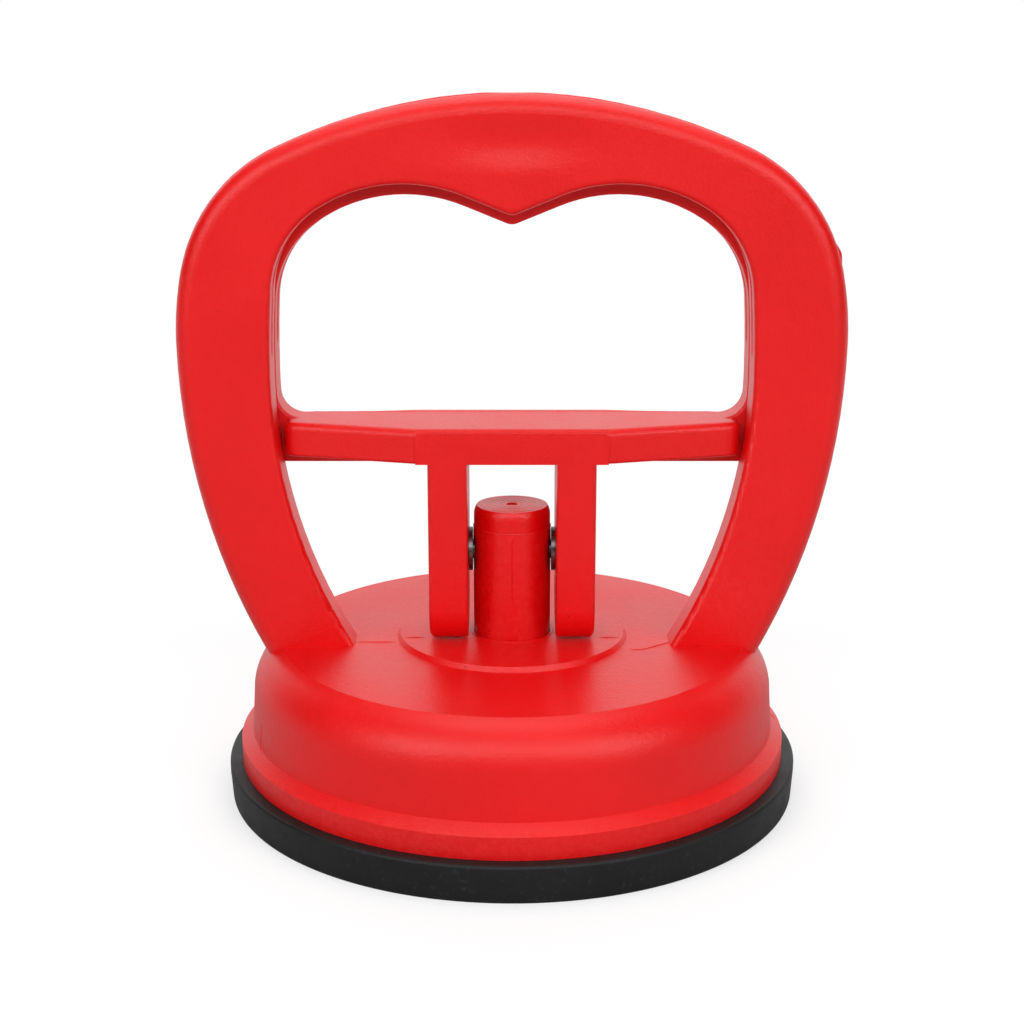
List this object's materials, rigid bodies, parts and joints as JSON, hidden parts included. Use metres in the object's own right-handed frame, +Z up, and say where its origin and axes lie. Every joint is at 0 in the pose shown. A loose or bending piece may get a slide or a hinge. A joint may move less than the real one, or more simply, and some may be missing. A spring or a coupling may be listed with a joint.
{
  "type": "suction lifter",
  "caption": "Single-cup suction lifter: a rubber cup under a moulded dome with a fixed handle loop, and a hinged lever loop whose cams pull the cup's middle up.",
  "frame": {"origin": "middle of the suction cup's lip, on the floor the lifter stands on", "axes": "+Z up along the post, +X to the right along the hinge pin seen from the front, +Y to the rear, where the lever loop lies"},
  "size_m": [0.132, 0.118, 0.1408],
  "materials": {
    "housing_plastic": "satin",
    "lever_plastic": "satin",
    "post_plastic": "satin",
    "cup_rubber": "satin",
    "steel": "satin"
  },
  "bodies": {
    "housing": {"handle_housing": "housing_plastic", "suction_cup": "cup_rubber"},
    "post": {"lift_post": "post_plastic", "cup_stud": "steel", "insert_plate": "steel"},
    "lever": {"lever": "lever_plastic", "hinge_pin": "steel", "thrust_washer_left": "steel", "thrust_washer_right": "steel"}
  },
  "joints": [
    {"name": "post_slide", "type": "slide", "parent": "housing", "child": "post", "axis": [0, 0, 1], "range_m": [-0.0073, 0], "deforming": ["suction_cup"]},
    {"name": "lever_swing", "type": "hinge", "parent": "post", "child": "lever", "pos_m": [0, 0, 0.0498], "axis": [-1, 0, 0], "range_deg": [0, 90]}
  ],
  "couplings": [
    {"joint": "post_slide", "follows": "lever_swing", "m_per_rad": -0.0046473}
  ]
}
